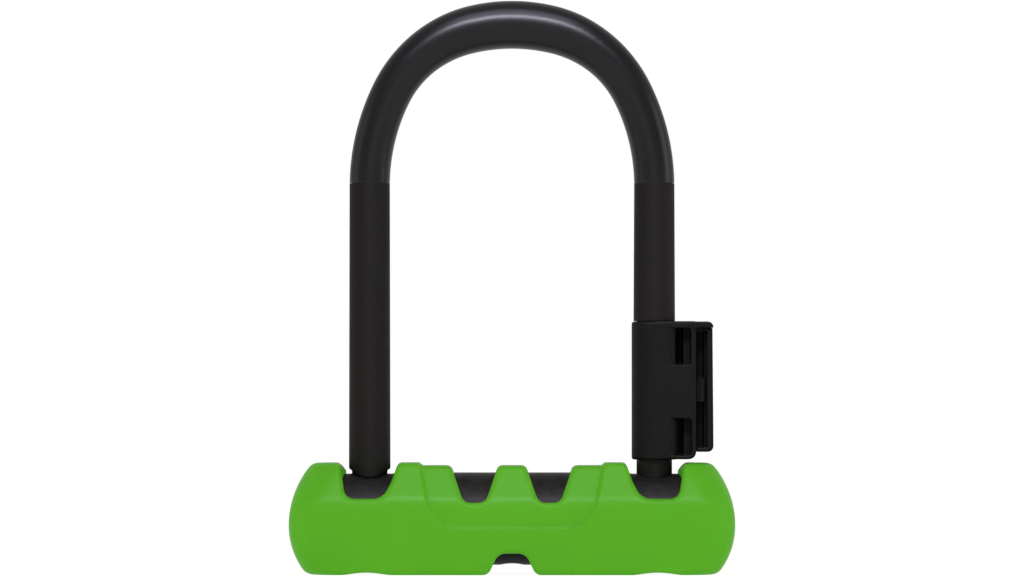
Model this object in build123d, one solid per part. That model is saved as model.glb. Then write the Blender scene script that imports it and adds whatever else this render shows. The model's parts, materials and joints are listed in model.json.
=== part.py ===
from build123d import *
from math import cos, radians, sin, sqrt
import os

os.makedirs("parts", exist_ok=True)

# The frame: X runs along the crossbar, Z is up, and the origin is under the middle
# of the crossbar, on the surface that it stands on. All sizes are in millimetres.

# ---------------------------------------------------------------- shackle
BAR_R = 6.0                   # hardened bar
COAT_R = 7.0                  # coated leg at its foot
SADDLE_R = 9.7                # round cut that lets the left coat straddle the tube
SADDLE_RISE = 1.1             # sides of that cut above the tube
COAT_TOP_R = 6.8              # coated leg at the seam with the crown sleeve
CROWN_R = 8.1                 # padded crown
INNER_WIDTH = 82.0            # clear width between the coated legs
CROWN_Z = 185.3               # centre line of the bar at the crown
SEAM_RISE = 1.0               # seam above the start of the arch
LEG_CHAMFER = 1.5
ARC_CROWN_R = 58.6            # the arch is three arcs each side: crown, shoulder, leg
ARC_LEG_R = 70.8
ARC_1 = radians(13.9)         # where the crown arc ends, from the vertical
ARC_2 = radians(63.7)         # where the shoulder arc ends

# ---------------------------------------------------------------- crossbar
TUBE_R = 15.6
TUBE_WALL = 3.1
COVER_OVERHANG = 27.2         # cover beyond the axis of each leg
COVER_END_T = 8.0              # cover beyond the end of the tube, at mid height
COVER_BOTTOM_T = 3.1
COVER_TOP_T = 3.3
COVER_SIDE_T = 2.8
COVER_FLAT_Y = 14.6           # half width of the flat under side
COVER_TOP_Y = 10.8            # half width of the top before its corners are rounded
CREASE_RISE = 6.1             # the crease, above the tube's axis
END_BOW_DROP = 2.2            # the ends are widest this far below the tube's axis
END_BOW_LOW_R = 28.0
END_BOW_HIGH_R = 32.0
PLAN_CORNER_R = 11.0
RECESS_DEPTH = 0.95
RECESS_HALF = 30.7
RECESS_FLOOR_HALF = 23.0
NOTCH_OPEN = 8.0              # notch outlines run this far above the cover
RECESS_RISE = 3.2             # lower edge of the recess, below the tube's axis
LEG_NOTCH_FLOOR = 7.0         # floor of the leg notches, above the tube's axis
LEG_NOTCH_HALF = 10.0         # half width of a leg notch above the cover
WINDOW_X = 12.6               # middle of each window between the legs
WINDOW_FLOOR = 5.7
WINDOW_FLOOR_HALF = 3.55
WINDOW_TOP_HALF = 8.6
KEY_NOTCH_FOOT = 7.9
KEY_NOTCH_HEAD = 4.6
KEY_NOTCH_HIGH = 7.3
HOLLOW_DEPTH = 0.85           # shallow hollow under each leg
HOLLOW_R = 29.2
END_PLUG_T = 8.5
BUSH_WALL = 2.4
BUSH_SUNK = 0.4               # depth of the guide's face below the face of the tube
BUSH_DROP = 6.6               # height of the guide below the top of the tube
KEYHOLE_R = 4.3

# ---------------------------------------------------------------- lock mechanism
HOUSING_HALF = 30.0
SPRING_PIN_R = 1.5
SPRING_PIN_INSET = 10.0       # from the end of the housing
SPRING_PIN_DROP = 5.7         # below the tube's axis
HOUSING_SCREW_INSET = 4.0
HOUSING_SCREW_Y = 7.5
HOUSING_SCREW_R = 1.0
HOUSING_SCREW_L = 6.2         # below the split
BOLT_TRAVEL = 5.0
BOLT_W = 9.0
BOLT_H = 7.6
BOLT_RISE = 4.3               # middle of the bolts, above the tube's axis
HEAD_LENGTH = 24.0
TAIL_SIDE = 7.0
TAIL_T = 3.0
CRANK_PIN_R = 1.25
CAM_T = 1.8
CAM_R = 6.4
TANG = 3.6
SHELL_R = 7.2
PLUG_R = 5.5
PLUG_WALL = 1.1
NOSE_R = 3.9
KEYWAY_W = 2.0
KEYWAY_L = 6.0
DISC_COUNT = 6
DISC_AIR = 0.4
CLIP_T = 0.5
SIDEBAR_W = 1.2

# ---------------------------------------------------------------- carrier
CARRIER_GAP = 1.0             # above the cover
CARRIER_HEIGHT = 46.6
CARRIER_R = 7.65
CARRIER_Y = 7.65              # half depth of the wing
WING_REACH = 14.1             # right edge of the wing, from the leg's axis
PLATE_T = 2.1
WINDOW_L = 12.5               # height of the two windows in the wing
WINDOW_REACH = 6.2            # left edge of the upper one, from the leg's axis
WINDOW_SILL = 1.5             # below the lower one
RAIL_REACH = 19.9
RAIL_RAISE = 2.7              # foot of the rail, above the foot of the shell
RAIL_FRONT = 6.3
RAIL_SLOT_TOP = 15.8          # lengths of the rail's upper and lower slots
RAIL_SLOT_LOW = 15.1
RAIL_SILL = 1.5
TONGUE_REACH = 6.8
TONGUE_Y = 4.2
LINER_T = 0.6
SCREW_REACH = 9.6
SCREW_R = 1.25
SCREW_HEAD_R = 2.4

# ---------------------------------------------------------------- fits
FACE_FIT = 0.05               # pieces pushed together in one body
PRESS_FIT = 0.02              # pins and screws in their holes
SLIDE_GAP = 0.30              # pieces that move past each other
TURN_FIT = 0.08               # lock plug in its shell, radial
SLOT_GAP = 0.40               # crank pin in a bolt's slot

# ---------------------------------------------------------------- sizes that follow
LEG_X = INNER_WIDTH / 2 + COAT_R
COVER_HALF = LEG_X + COVER_OVERHANG
SPRING_PIN_X = HOUSING_HALF - SPRING_PIN_INSET
HOUSING_SCREW_X = HOUSING_HALF - HOUSING_SCREW_INSET
TUBE_BORE_R = TUBE_R - TUBE_WALL
TUBE_Z = COVER_BOTTOM_T + TUBE_R
TUBE_HALF = COVER_HALF - COVER_END_T
TUBE_FLOOR = TUBE_Z - TUBE_BORE_R
COVER_TOP = TUBE_Z + TUBE_R + COVER_TOP_T
COVER_Y = TUBE_R + COVER_SIDE_T
CREASE_Z = TUBE_Z + CREASE_RISE
BOW_Z = TUBE_Z - END_BOW_DROP
LEG_BOTTOM = TUBE_FLOOR + 1.4
BORE_R = BAR_R + SLIDE_GAP
BUSH_R = BORE_R + BUSH_WALL

BOLT_LOW = TUBE_Z + BOLT_RISE - BOLT_H / 2
BOLT_HIGH = BOLT_LOW + BOLT_H
BOLT_TIP = LEG_X - BAR_R - 1.0          # tip of a withdrawn bolt
HEAD_START = BOLT_TIP - HEAD_LENGTH
TAIL_LOW = TUBE_Z + BOLT_RISE - 0.1
TAIL_HIGH = TAIL_LOW + TAIL_T
CAM_HIGH = TAIL_LOW - 0.7
CAM_LOW = CAM_HIGH - CAM_T
SHELL_TOP = CAM_LOW - CLIP_T - 2 * SLIDE_GAP
HOUSING_SPLIT = TAIL_LOW - SLIDE_GAP
CRANK_STEP = BOLT_TRAVEL / 2            # crank pins start this far off both axes
PLUG_LOW = TUBE_FLOOR + 1.8
PLUG_TOP = SHELL_TOP - 1.2
DISC_R = PLUG_R - PLUG_WALL - FACE_FIT
DISC_FLOOR = PLUG_LOW + 1.0
DISC_PITCH = (PLUG_TOP - DISC_FLOOR) / DISC_COUNT

CARRIER_LOW = COVER_TOP + CARRIER_GAP
CARRIER_HIGH = CARRIER_LOW + CARRIER_HEIGHT
PLATE_LOW = CARRIER_HIGH - PLATE_T
RAIL_LOW = CARRIER_LOW + RAIL_RAISE
LINER_R = BAR_R + FACE_FIT + LINER_T
FAR = 400.0                             # longer than anything here, for cutting


# ---------------------------------------------------------------- helpers
def save(shape, name):
    shape.label = name
    export_step(shape, f"parts/{name}.step")


def block(x0, x1, y0, y1, z0, z1):
    """Box between the stated faces, given in either order."""
    centre = ((x0 + x1) / 2, (y0 + y1) / 2, (z0 + z1) / 2)
    return Pos(*centre) * Box(abs(x1 - x0), abs(y1 - y0), abs(z1 - z0))


def post(x, y, radius, z0, z1):
    """Upright round bar."""
    return Pos(x, y, (z0 + z1) / 2) * Cylinder(radius, z1 - z0)


def along_x(radius, x0, x1):
    """Round bar on the tube's axis."""
    return Pos((x0 + x1) / 2, 0, TUBE_Z) * Rot(0, 90, 0) * Cylinder(radius, x1 - x0)


def along_y(x, z, radius, y0, y1):
    return Pos(x, (y0 + y1) / 2, z) * Rot(90, 0, 0) * Cylinder(radius, y1 - y0)


def front_polygon(points, radius):
    """Prism through the whole depth, from a rounded polygon given as (x, z)."""
    face = make_face(Polyline(*[(x, 0, z) for x, z in points], close=True))
    face = fillet(face.vertices(), radius)
    return extrude(face, amount=3 * COVER_Y, both=True)


def both_sides(points):
    """A list of (x, z) on the left, followed by the same points on the right."""
    return points + [(-x, z) for x, z in reversed(points)]


def mirrored(shape):
    return mirror(shape, about=Plane.YZ)


def right_edges(shape, axis, reach):
    """Edges along an axis that lie further right than reach."""
    return [e for e in shape.edges().filter_by(axis) if e.center().X > reach]


# ---------------------------------------------------------------- arch centre line
ARC_SHOULDER_R = (LEG_X - ARC_CROWN_R * sin(ARC_1) - ARC_LEG_R * (1 - sin(ARC_2))) / (
    sin(ARC_2) - sin(ARC_1)
)


def arch_point(angle):
    """Point (x, z) on the right half of the centre line, by angle from the vertical."""
    first = min(angle, ARC_1)
    x = ARC_CROWN_R * sin(first)
    drop = ARC_CROWN_R * (1 - cos(first))
    if angle > ARC_1:
        second = min(angle, ARC_2)
        x += ARC_SHOULDER_R * (sin(second) - sin(ARC_1))
        drop += ARC_SHOULDER_R * (cos(ARC_1) - cos(second))
    if angle > ARC_2:
        x += ARC_LEG_R * (sin(angle) - sin(ARC_2))
        drop += ARC_LEG_R * (cos(ARC_2) - cos(angle))
    return x, CROWN_Z - drop


QUARTER = radians(90)
SPRING_Z = arch_point(QUARTER)[1]
SEAM_Z = SPRING_Z + SEAM_RISE


def signed_arch_point(angle):
    x, z = arch_point(abs(angle))
    return (x if angle >= 0 else -x), 0, z


def bar_path():
    """Left leg, arch and right leg as one smooth wire."""
    stops = [-QUARTER, -ARC_2, -ARC_1, ARC_1, ARC_2, QUARTER]
    pieces = [Line((-LEG_X, 0, LEG_BOTTOM), (-LEG_X, 0, SPRING_Z))]
    for start, end in zip(stops, stops[1:]):
        spots = [signed_arch_point(a) for a in (start, (start + end) / 2, end)]
        pieces.append(ThreePointArc(*spots))
    pieces.append(Line((LEG_X, 0, SPRING_Z), (LEG_X, 0, LEG_BOTTOM)))
    return Wire([piece.edge() for piece in pieces])


# ---------------------------------------------------------------- shackle bar
bar = sweep(Plane((-LEG_X, 0, LEG_BOTTOM)) * Circle(BAR_R), path=bar_path())
foot_edges = [e for e in bar.edges() if e.center().Z < LEG_BOTTOM + 0.1]
shackle = chamfer(foot_edges, LEG_CHAMFER)
leg_notch_floor = BOLT_TIP + BOLT_TRAVEL + SLOT_GAP
for side in (-1, 1):
    low = BOLT_LOW - 2 * SLIDE_GAP
    high = BOLT_HIGH + 2 * SLIDE_GAP
    reach = LEG_X - BAR_R - 1
    shackle -= block(side * reach, side * leg_notch_floor, -BAR_R, BAR_R, low, high)
save(shackle, "shackle")


# ---------------------------------------------------------------- sleeves on the bar
def straight_ring(side, drop):
    plane = Plane((side * LEG_X, 0, SPRING_Z - drop), (0, 1, 0), (0, 0, -side))
    return plane * Circle(COAT_TOP_R)


def arch_ring(angle):
    """Ring of padding, thickest at the crown."""
    radius = COAT_TOP_R + (CROWN_R - COAT_TOP_R) * abs(cos(angle)) ** 3.8
    plane = Plane(signed_arch_point(angle), (0, 1, 0), (cos(angle), 0, -sin(angle)))
    return plane * Circle(radius)


rings = [straight_ring(-1, COAT_R), straight_ring(-1, COAT_R / 2)]
rings += [arch_ring(QUARTER * step / 15) for step in range(-15, 16)]
rings += [straight_ring(1, COAT_R / 2), straight_ring(1, COAT_R)]
crown_sleeve = loft(rings) - block(-FAR, FAR, -FAR, FAR, 0, SEAM_Z) - bar
save(crown_sleeve, "crown_sleeve")


def leg_sleeve(x, low):
    skin = Pos(x, 0, (low + SEAM_Z) / 2) * Cone(COAT_R, COAT_TOP_R, SEAM_Z - low)
    return skin - bar


left_sleeve = leg_sleeve(-LEG_X, TUBE_Z + TUBE_R / 2)
saddle = Rot(0, 90, 0) * Cylinder(SADDLE_R, 4 * COAT_R)
left_sleeve -= Pos(-LEG_X, 0, TUBE_Z + TUBE_R + SADDLE_RISE - SADDLE_R) * saddle
save(left_sleeve, "left_leg_sleeve")
save(leg_sleeve(LEG_X, CARRIER_HIGH + 2 * FACE_FIT), "right_leg_sleeve")

# ---------------------------------------------------------------- crossbar tube
SPRING_PIN_Z = TUBE_Z - SPRING_PIN_DROP
tube = along_x(TUBE_R, -TUBE_HALF, TUBE_HALF) - along_x(TUBE_BORE_R, -FAR, FAR)
for side in (-1, 1):
    tube -= post(side * LEG_X, 0, BUSH_R + FACE_FIT, TUBE_Z, COVER_TOP)
    tube -= along_y(side * SPRING_PIN_X, SPRING_PIN_Z, SPRING_PIN_R, 0, COVER_Y)
tube -= post(0, 0, KEYHOLE_R, 0, TUBE_Z)
save(tube, "crossbar_tube")

# steel plugs pressed into the ends of the tube, dished on the outside
end_plug = along_x(TUBE_BORE_R - FACE_FIT, TUBE_HALF - END_PLUG_T, TUBE_HALF)
end_plug -= along_x(TUBE_BORE_R - TUBE_WALL, TUBE_HALF - 0.3 * END_PLUG_T, TUBE_HALF + 1)
end_plug -= along_x(0.2 * TUBE_BORE_R, TUBE_HALF - 2 * END_PLUG_T, TUBE_HALF - END_PLUG_T / 2)
save(end_plug, "right_end_plug")
save(mirrored(end_plug), "left_end_plug")

# plastic guides in the leg holes, a little below the face of the tube
bush_low = TUBE_Z + TUBE_R - BUSH_DROP
bush = post(LEG_X, 0, BUSH_R, bush_low, COVER_TOP) - post(LEG_X, 0, BORE_R, 0, FAR)
bush &= along_x(TUBE_R - BUSH_SUNK, 0, COVER_HALF)
save(bush, "right_leg_bushing")
save(mirrored(bush), "left_leg_bushing")


# ---------------------------------------------------------------- crossbar cover
def end_x(z):
    """Half length of the cover at a height; its ends are bowed."""
    radius = END_BOW_LOW_R if z < BOW_Z else END_BOW_HIGH_R
    return COVER_HALF - radius + sqrt(radius**2 - (z - BOW_Z) ** 2)


def cover_front():
    """Front outline of the cover: flat top and bottom, bowed ends."""
    heights = [0, BOW_Z / 2, BOW_Z, (BOW_Z + COVER_TOP) / 2, COVER_TOP]
    right = [(end_x(z), 0, z) for z in heights]
    left = [(-x, y, z) for x, y, z in right]
    edges = [Line(left[0], right[0]), Line(right[4], left[4])]
    for spots in (right, left):
        edges.append(ThreePointArc(*spots[0:3]))
        edges.append(ThreePointArc(*spots[2:5]))
    face = make_face([edge.edge() for edge in edges])
    face = fillet([v for v in face.vertices() if v.Z > COVER_TOP - 0.1], 3.0)
    return fillet([v for v in face.vertices() if v.Z < 0.1], 2.0)


def cover_section(inset):
    """Cross-section of the cover: full lower face, crease, leaning top."""
    foot = (COVER_Y - 1.7, 2.4)
    middle = (COVER_Y - 0.35, CREASE_Z / 2)
    crease = (COVER_Y, CREASE_Z)
    edges = [Line((0, -COVER_FLAT_Y, 0), (0, COVER_FLAT_Y, 0))]
    edges.append(Line((0, -COVER_TOP_Y, COVER_TOP), (0, COVER_TOP_Y, COVER_TOP)))
    for side in (1, -1):
        low, mid, high = [(0, side * y, z) for y, z in (foot, middle, crease)]
        edges.append(Line((0, side * COVER_FLAT_Y, 0), low))
        edges.append(ThreePointArc(low, mid, high))
        edges.append(Line(high, (0, side * COVER_TOP_Y, COVER_TOP)))
    face = make_face([edge.edge() for edge in edges])
    face = fillet([v for v in face.vertices() if v.Z > COVER_TOP - 0.1], 3.0)
    face = fillet([v for v in face.vertices() if 2 < v.Z < 3], 2.5)
    face = fillet([v for v in face.vertices() if v.Z < 0.1], 1.5)
    return offset(face, -inset) if inset else face


plan = RectangleRounded(2 * COVER_HALF, 2 * COVER_Y, PLAN_CORNER_R)
cover = extrude(cover_section(0), amount=COVER_HALF, both=True)
cover &= extrude(cover_front(), amount=2 * COVER_Y, both=True)
cover &= extrude(plan, amount=COVER_TOP)

# shallow recess across the middle, cut down to a smaller section
core = extrude(cover_section(RECESS_DEPTH), amount=COVER_HALF, both=True)
recess = [
    (-RECESS_HALF - 0.4, COVER_TOP + NOTCH_OPEN),
    (-RECESS_HALF, COVER_TOP - 1.6),
    (-0.3 * RECESS_FLOOR_HALF - 0.7 * RECESS_HALF, CREASE_Z),
    (-RECESS_FLOOR_HALF, TUBE_Z - RECESS_RISE),
]
cover -= front_polygon(both_sides(recess), 2.0) - core

# notches over the legs and the two windows between them
leg_notch = [
    (LEG_X - LEG_NOTCH_HALF, COVER_TOP + NOTCH_OPEN),
    (LEG_X - 0.93 * LEG_NOTCH_HALF, COVER_TOP - 0.6),
    (LEG_X - 0.72 * LEG_NOTCH_HALF, COVER_TOP - 6.1),
    (LEG_X - 0.41 * LEG_NOTCH_HALF, TUBE_Z + LEG_NOTCH_FLOOR),
    (LEG_X + 0.67 * LEG_NOTCH_HALF, TUBE_Z + LEG_NOTCH_FLOOR),
    (LEG_X + LEG_NOTCH_HALF, COVER_TOP + NOTCH_OPEN),
]
window = [
    (-WINDOW_TOP_HALF - 2.5, COVER_TOP + NOTCH_OPEN),
    (-WINDOW_TOP_HALF, COVER_TOP),
    (-0.75 * WINDOW_TOP_HALF, COVER_TOP - 3.8),
    (-WINDOW_FLOOR_HALF, TUBE_Z + WINDOW_FLOOR),
]
for side in (-1, 1):
    cover -= front_polygon([(side * x, z) for x, z in leg_notch], 2.0)
    cover -= front_polygon([(side * WINDOW_X + x, z) for x, z in both_sides(window)], 1.5)

# keyhole notch underneath, and the shallow hollows under the legs
key_notch = [
    (-KEY_NOTCH_FOOT - 2.1, -4),
    (-KEY_NOTCH_FOOT, 0.2),
    (-0.5 * (KEY_NOTCH_FOOT + KEY_NOTCH_HEAD), KEY_NOTCH_HIGH / 2),
    (-KEY_NOTCH_HEAD, KEY_NOTCH_HIGH),
]
cover -= front_polygon(both_sides(key_notch), 1.2)
for side in (-1, 1):
    cover -= along_y(side * (LEG_X + 1), HOLLOW_DEPTH - HOLLOW_R, HOLLOW_R, -FAR, FAR)
cover -= along_x(TUBE_R + FACE_FIT, -TUBE_HALF - FACE_FIT, TUBE_HALF + FACE_FIT)
save(cover, "crossbar_cover")

# ---------------------------------------------------------------- housing in the tube
channel_y = BOLT_W / 2 + SLIDE_GAP
tail_room = TAIL_SIDE + SLIDE_GAP + FACE_FIT
pocket_r = CAM_R + SLIDE_GAP + FACE_FIT
tail_reach = HEAD_START + BOLT_TRAVEL + 2 * SLIDE_GAP
round_core = along_x(TUBE_BORE_R - FACE_FIT, -HOUSING_HALF, HOUSING_HALF)
base = round_core & block(-FAR, FAR, -FAR, FAR, 0, HOUSING_SPLIT)
base -= post(0, 0, SHELL_R + FACE_FIT, 0, SHELL_TOP + FACE_FIT)
base -= post(0, 0, pocket_r, SHELL_TOP - 1, FAR)
lid = round_core & block(-FAR, FAR, -FAR, FAR, HOUSING_SPLIT + FACE_FIT, FAR)
lid -= block(-tail_reach, tail_reach, -tail_room, tail_room, 0, TAIL_HIGH + SLIDE_GAP)
head_low = TUBE_Z + 0.52 * TUBE_BORE_R       # underside of the screw heads
housing_screws = []
housing_pins = []
for side in (-1, 1):
    near = side * (HEAD_START - SLIDE_GAP)
    low = BOLT_LOW - SLIDE_GAP
    high = BOLT_HIGH + SLIDE_GAP
    channel = block(near, side * FAR, -channel_y, channel_y, low, high)
    base -= channel
    lid -= channel
    pin_x = side * SPRING_PIN_X
    pin_start = TUBE_BORE_R / 2
    base -= along_y(pin_x, SPRING_PIN_Z, SPRING_PIN_R, pin_start, COVER_Y)
    pin_end = sqrt(TUBE_R**2 - (SPRING_PIN_DROP + SPRING_PIN_R) ** 2) - 0.2
    pin = along_y(pin_x, SPRING_PIN_Z, SPRING_PIN_R - PRESS_FIT, pin_start, pin_end)
    housing_pins.append(pin - along_y(pin_x, SPRING_PIN_Z, SPRING_PIN_R / 2, 0, FAR))
    for front in (-1, 1):
        x = side * HOUSING_SCREW_X
        y = front * HOUSING_SCREW_Y
        foot = HOUSING_SPLIT - HOUSING_SCREW_L
        base -= post(x, y, HOUSING_SCREW_R + FACE_FIT, foot - 0.2, FAR)
        lid -= post(x, y, HOUSING_SCREW_R + FACE_FIT, TUBE_Z, FAR)
        lid -= post(x, y, 1.6 * HOUSING_SCREW_R, head_low, FAR)
        screw = post(x, y, HOUSING_SCREW_R, foot, head_low + 0.1)
        screw += post(x, y, 1.5 * HOUSING_SCREW_R, head_low + FACE_FIT, head_low + 1.2)
        hexagon = Pos(x, y, head_low + 0.5) * RegularPolygon(0.8 * HOUSING_SCREW_R, 6)
        housing_screws.append(screw - extrude(hexagon, amount=2))
save(base, "housing_base")
save(lid, "housing_lid")
save(Compound(housing_screws), "housing_screws")
save(Compound(housing_pins), "housing_pins")

# ---------------------------------------------------------------- lock cylinder
shell = post(0, 0, SHELL_R, 0, SHELL_TOP)
shell &= along_x(TUBE_BORE_R - FACE_FIT, -HOUSING_HALF, HOUSING_HALF)
shell -= post(0, 0, PLUG_R + TURN_FIT, PLUG_LOW - SLIDE_GAP, FAR)
shell -= post(0, 0, NOSE_R + SLIDE_GAP, 0, PLUG_LOW)
save(shell, "cylinder_shell")

nose_low = TUBE_Z - TUBE_R + 1.1
slot_in = DISC_R - 0.15
plug = post(0, 0, PLUG_R, PLUG_LOW, PLUG_TOP) + post(0, 0, NOSE_R, nose_low, PLUG_LOW + 0.1)
plug -= post(0, 0, DISC_R + FACE_FIT, DISC_FLOOR, FAR)
plug -= block(-KEYWAY_W / 2, KEYWAY_W / 2, -KEYWAY_L / 2, KEYWAY_L / 2, 0, DISC_FLOOR + 1)
side_slot = SIDEBAR_W / 2 + FACE_FIT
plug -= block(slot_in, PLUG_R + 1, -side_slot, side_slot, DISC_FLOOR + 0.2, PLUG_TOP - 0.1)
save(plug, "cylinder_plug")
sidebar_out = PLUG_R - SLIDE_GAP - FACE_FIT
sidebar = block(DISC_R + 0.07, sidebar_out, -SIDEBAR_W / 2, SIDEBAR_W / 2, DISC_FLOOR + 0.3, PLUG_TOP - 0.2)
save(sidebar, "sidebar")

discs = []
for index in range(DISC_COUNT):
    low = DISC_FLOOR + FACE_FIT + index * DISC_PITCH
    twist = (0, 12, -20, 8, -14, 18)[index % 6]
    disc = post(0, 0, DISC_R, low, low + DISC_PITCH - DISC_AIR)
    gate_w = KEYWAY_W / 2 + 0.1
    gate_l = KEYWAY_L / 2 + 0.1
    discs.append(disc - Rot(0, 0, twist) * block(-gate_w, gate_w, -gate_l, gate_l, 0, FAR))
save(discs[0], "drill_disc")
save(Compound(discs[1:]), "detainer_discs")

stem_r = 0.58 * PLUG_R
tang_turn = Rot(0, 0, 45)
driver = post(0, 0, PLUG_R - FACE_FIT, PLUG_TOP, SHELL_TOP - SLIDE_GAP)
driver += post(0, 0, stem_r, PLUG_TOP, CAM_LOW - 0.1)
driver += tang_turn * block(-TANG / 2, TANG / 2, -TANG / 2, TANG / 2, PLUG_TOP, CAM_HIGH)
save(driver, "plug_driver")

clip_low = SHELL_TOP + SLIDE_GAP
clip = post(0, 0, CAM_R - 0.1, clip_low, clip_low + CLIP_T)
clip -= post(0, 0, stem_r + FACE_FIT, 0, FAR)
clip -= block(-stem_r / 2, stem_r / 2, 0, FAR, 0, FAR)
save(clip, "plug_clip")

cam = post(0, 0, CAM_R, CAM_LOW, CAM_HIGH)
tang_hole = TANG / 2 + FACE_FIT
cam -= tang_turn * block(-tang_hole, tang_hole, -tang_hole, tang_hole, 0, FAR)
cam_pins = []
for side in (-1, 1):
    spot = side * CRANK_STEP
    foot = CAM_LOW + 0.4
    cam -= post(spot, spot, CRANK_PIN_R + PRESS_FIT, foot, FAR)
    cam_pins.append(post(spot, spot, CRANK_PIN_R, foot, TAIL_HIGH - SLIDE_GAP))
save(cam, "drive_cam")
save(Compound(cam_pins), "cam_pins")

# ---------------------------------------------------------------- locking bolts
bolt = block(HEAD_START, BOLT_TIP, -BOLT_W / 2, BOLT_W / 2, BOLT_LOW, BOLT_HIGH)
bolt = chamfer([e for e in bolt.edges() if e.center().X > BOLT_TIP - 0.1], 1.0)
slot_half = CRANK_PIN_R + SLOT_GAP
slot_deep = CRANK_STEP * sqrt(2) + slot_half
tail_end = -CRANK_STEP - slot_half - 1.65
bolt += block(tail_end, HEAD_START, -TAIL_SIDE, -SLIDE_GAP, TAIL_LOW, TAIL_HIGH)
bolt -= block(-CRANK_STEP - slot_half, -CRANK_STEP + slot_half, -slot_deep, 1, 0, FAR)
save(bolt, "right_bolt")
save(Rot(0, 0, 180) * bolt, "left_bolt")

# ---------------------------------------------------------------- carrier on the leg
wing_edge = LEG_X + WING_REACH
rail_edge = LEG_X + RAIL_REACH
sleeve_body = post(LEG_X, 0, CARRIER_R, CARRIER_LOW, CARRIER_HIGH)
wing = block(LEG_X, wing_edge, -CARRIER_Y, CARRIER_Y, CARRIER_LOW, CARRIER_HIGH)
foot_corner = [e for e in right_edges(wing, Axis.Y, wing_edge - 1) if e.center().Z < PLATE_LOW]
wing = fillet(foot_corner, 3.0)
plate = block(LEG_X, rail_edge, -CARRIER_Y, CARRIER_Y, PLATE_LOW, CARRIER_HIGH)
plate = fillet(right_edges(plate, Axis.Z, rail_edge - 1), 1.6)
carrier_shell = sleeve_body + wing + plate
carrier_shell -= post(LEG_X, 0, LINER_R + FACE_FIT, 0, PLATE_LOW)
carrier_shell -= post(LEG_X, 0, BAR_R + FACE_FIT, 0, FAR)

# two windows in the wing, beside the round sleeve
low_sill = CARRIER_LOW + WINDOW_SILL
for left, right, low, high in (
    (LEG_X + WINDOW_REACH, wing_edge - 1.8, PLATE_LOW - WINDOW_L, PLATE_LOW),
    (LEG_X + WINDOW_REACH + 0.8, wing_edge - 1.6, low_sill, low_sill + WINDOW_L),
):
    deep = block(left, right - 2.7, -FAR, TONGUE_Y - 1.2, low, high)
    shallow = block(left, right, -FAR, -CARRIER_Y / 3, low, high)
    shallow = fillet(right_edges(shallow, Axis.Y, right - 1), 1.3)
    carrier_shell -= deep + shallow - sleeve_body
tongue_x = LEG_X + TONGUE_REACH
tongue_seat = TONGUE_Y - FACE_FIT
carrier_shell -= block(tongue_x - FACE_FIT, FAR, tongue_seat, FAR, RAIL_LOW, PLATE_LOW)

rail_x = wing_edge + 2 * FACE_FIT
rail_high = PLATE_LOW - FACE_FIT
rail = block(rail_x, rail_edge, -RAIL_FRONT, CARRIER_Y, RAIL_LOW, rail_high)
low_edge = [e for e in right_edges(rail, Axis.Y, rail_edge - 1) if e.center().Z < RAIL_LOW + 1]
rail = fillet(low_edge, 1.7)
rail += block(tongue_x, rail_x + 1, TONGUE_Y, CARRIER_Y, RAIL_LOW + 2 * FACE_FIT, rail_high)
slot_x = rail_edge - 3.2
slot_low = RAIL_LOW + RAIL_SILL
slot_high = rail_high - 1
for low, high in ((slot_high - RAIL_SLOT_TOP, slot_high), (slot_low, slot_low + RAIL_SLOT_LOW)):
    rail -= block(rail_x + 0.7, slot_x, -FAR, 1.5, low, high)
rail -= block(slot_x, slot_x + 1, -FAR, -2.0, slot_low, slot_high)
dovetail = Polyline(
    (rail_edge + 1, -2.2), (rail_edge - 1.2, -3.4), (rail_edge - 1.2, 5.0), (rail_edge + 1, 3.8), close=True
)
rail -= Pos(0, 0, RAIL_LOW - 1) * extrude(make_face(dovetail), amount=rail_high - RAIL_LOW - 3)

carrier_screws = []
screw_x = LEG_X + SCREW_REACH
middle_z = (RAIL_LOW + PLATE_LOW) / 2
for z in (middle_z - 4.75, middle_z + 4.75):
    head_y = CARRIER_Y - 1.5
    carrier_shell -= along_y(screw_x, z, SCREW_R + PRESS_FIT, -2.5, FAR)
    rail -= along_y(screw_x, z, SCREW_R + 0.15, 0, FAR)
    rail -= along_y(screw_x, z, SCREW_HEAD_R + 0.1, head_y - FACE_FIT, FAR)
    screw = along_y(screw_x, z, SCREW_R, -2.0, head_y + 0.1)
    screw += along_y(screw_x, z, SCREW_HEAD_R, head_y, CARRIER_Y - 0.1)
    hexagon = Pos(screw_x, FAR, z) * Rot(90, 0, 0) * RegularPolygon(SCREW_HEAD_R / 2, 6)
    carrier_screws.append(screw - extrude(hexagon, amount=FAR - head_y - 0.4))
save(carrier_shell, "carrier_shell")
save(rail, "carrier_rail")
save(Compound(carrier_screws), "carrier_screws")
liner = post(LEG_X, 0, LINER_R, CARRIER_LOW + 0.8, PLATE_LOW - FACE_FIT)
save(liner - post(LEG_X, 0, BAR_R + FACE_FIT, 0, FAR), "carrier_liner")
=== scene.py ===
"""A short bicycle U lock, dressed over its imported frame.

The outer skins that a mould or a dip makes soft are shaped here, over the outer sizes and
places that the frame gives: the padded shackle, the moulded cover and the carrier. The
steel and the lock's insides keep the frame's own meshes and get their finishes.
"""

from __future__ import annotations

import json
import logging
import math
from dataclasses import dataclass, field
from enum import Enum
from typing import Any, Callable, Sequence

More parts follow.
